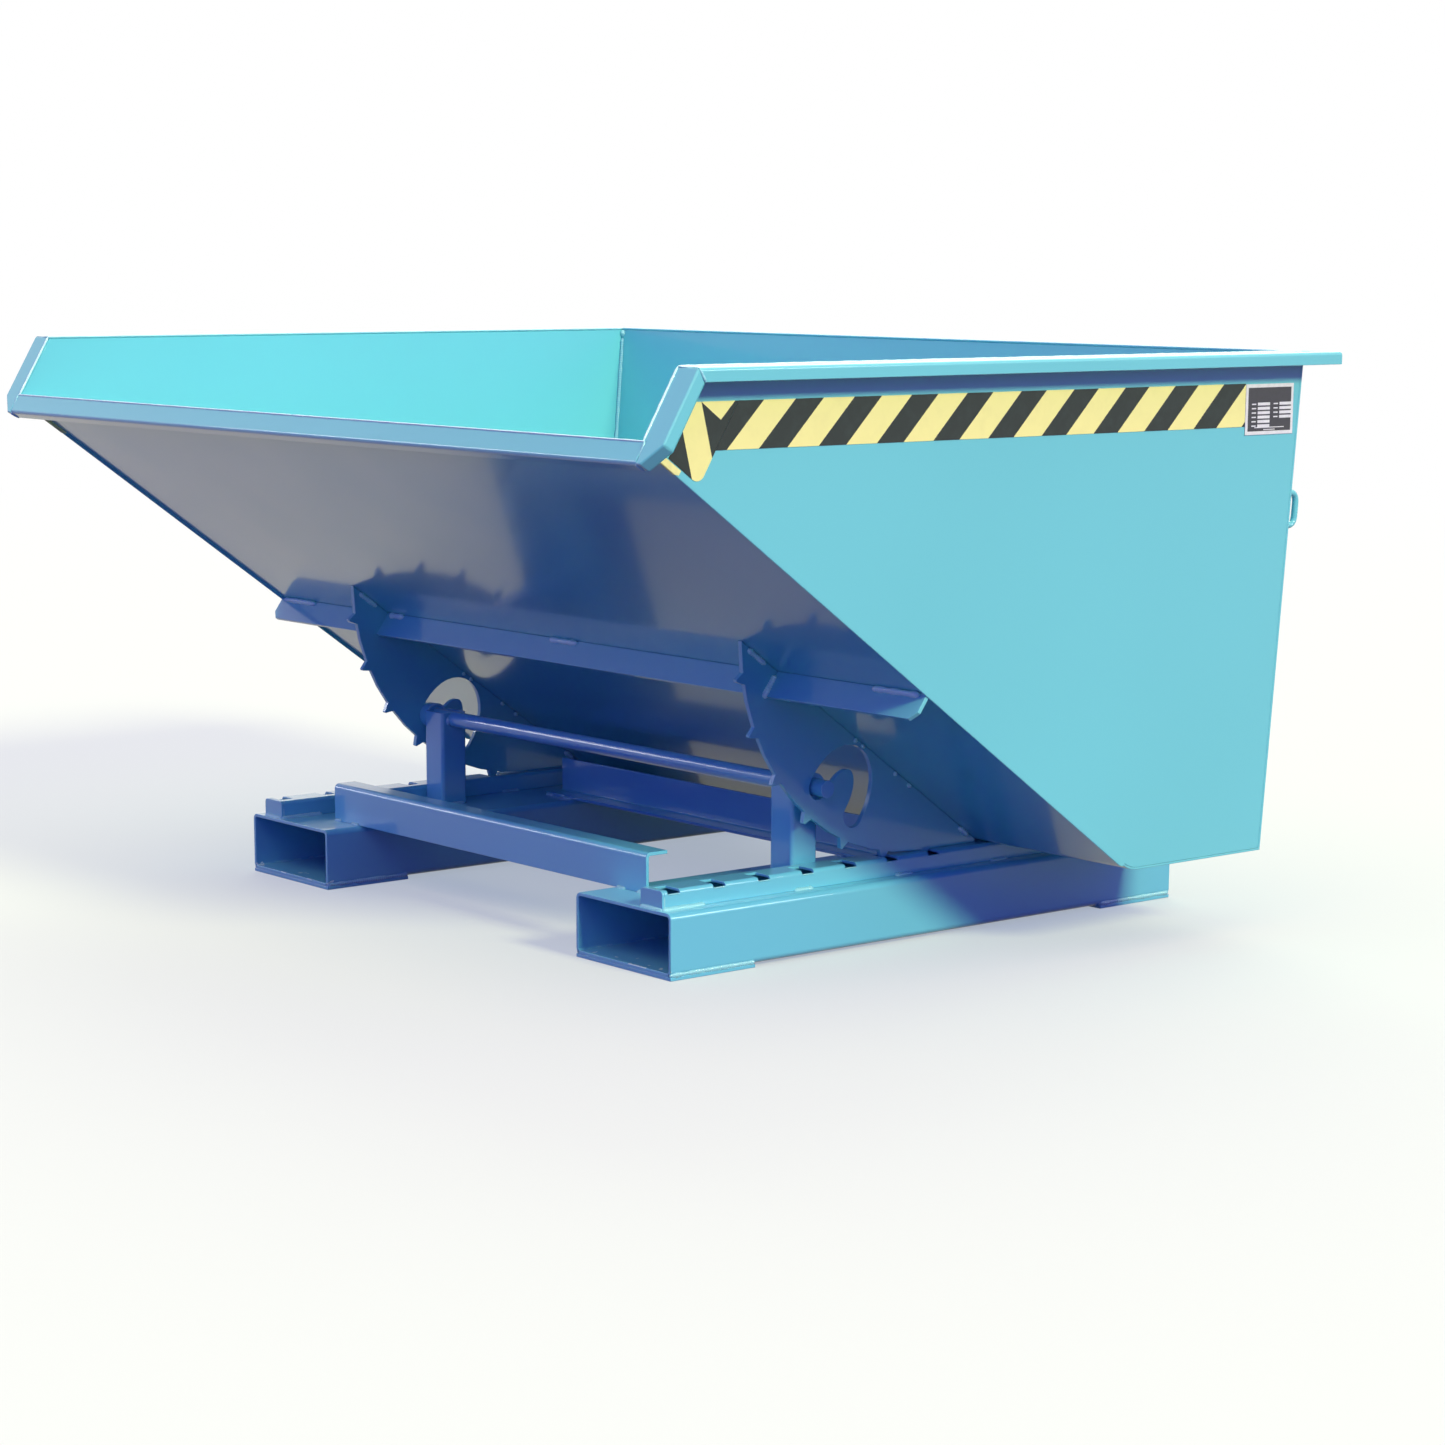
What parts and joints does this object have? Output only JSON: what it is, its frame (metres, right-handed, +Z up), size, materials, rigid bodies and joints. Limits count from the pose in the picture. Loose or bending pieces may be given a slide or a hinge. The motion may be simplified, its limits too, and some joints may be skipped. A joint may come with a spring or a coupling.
{
  "type": "self dumping hopper",
  "caption": "Blue steel tipping skip that rolls forward on toothed rockers over a slotted fork pocket frame, with a guide bar and a release latch.",
  "frame": {"origin": "on the floor, under the middle of the hopper's bounding box", "axes": "+Z up, +Y towards the fork truck at the rear, -Y towards the tipping mouth, +X to the right"},
  "size_m": [1.656, 1.25, 0.835],
  "materials": {
    "frame_paint": "gloss",
    "skip_paint": "gloss",
    "bare_steel": "satin",
    "hazard_tape": "satin",
    "rating_plate": "satin"
  },
  "bodies": {
    "base": {"left_fork_pocket": "frame_paint", "right_fork_pocket": "frame_paint", "left_front_foot_plate": "frame_paint", "right_front_foot_plate": "frame_paint", "left_rear_foot_plate": "frame_paint", "right_rear_foot_plate": "frame_paint", "left_rail": "frame_paint", "right_rail": "frame_paint", "left_rail_front_cap": "frame_paint", "right_rail_front_cap": "frame_paint", "left_guide_post": "frame_paint", "right_guide_post": "frame_paint", "left_bar_collar": "frame_paint", "right_bar_collar": "frame_paint", "front_cross_beam": "frame_paint", "middle_cross_beam": "frame_paint", "rear_cross_beam": "frame_paint", "guide_bar": "frame_paint", "left_latch_ear": "frame_paint", "right_latch_ear": "frame_paint", "latch_pivot_bolt": "bare_steel", "latch_pivot_nut": "bare_steel", "latch_stop_pin": "bare_steel"},
    "carrier": {"roll_shoe": "bare_steel"},
    "skip": {"floor_sheet": "skip_paint", "back_sheet": "skip_paint", "left_side_panel": "skip_paint", "right_side_panel": "skip_paint", "left_top_rim": "skip_paint", "right_top_rim": "skip_paint", "back_top_rim": "skip_paint", "left_mouth_rim": "skip_paint", "right_mouth_rim": "skip_paint", "front_lip": "skip_paint", "left_rocker": "skip_paint", "right_rocker": "skip_paint", "centre_rib": "skip_paint", "left_outer_rib": "skip_paint", "right_outer_rib": "skip_paint", "latch_keeper": "skip_paint", "rope_eye": "skip_paint", "rating_plate": "rating_plate", "left_side_hazard_tape": "hazard_tape", "right_side_hazard_tape": "hazard_tape", "left_front_hazard_tape": "hazard_tape", "right_front_hazard_tape": "hazard_tape"},
    "latch": {"latch_hook": "skip_paint", "latch_handle_bar": "skip_paint"}
  },
  "joints": [
    {"name": "roll_travel", "type": "slide", "parent": "base", "child": "carrier", "axis": [0, -1, 0], "range_m": [0, 0.3746]},
    {"name": "tip", "type": "hinge", "parent": "carrier", "child": "skip", "pos_m": [0, 0.13, 0.45], "axis": [1, 0, 0], "range_deg": [0, 65]},
    {"name": "latch_swing", "type": "hinge", "parent": "base", "child": "latch", "pos_m": [0, 0.564, 0.118], "axis": [-1, 0, 0], "range_deg": [-20, 0]}
  ],
  "couplings": [
    {"joint": "roll_travel", "follows": "tip", "m_per_rad": 0.33}
  ]
}
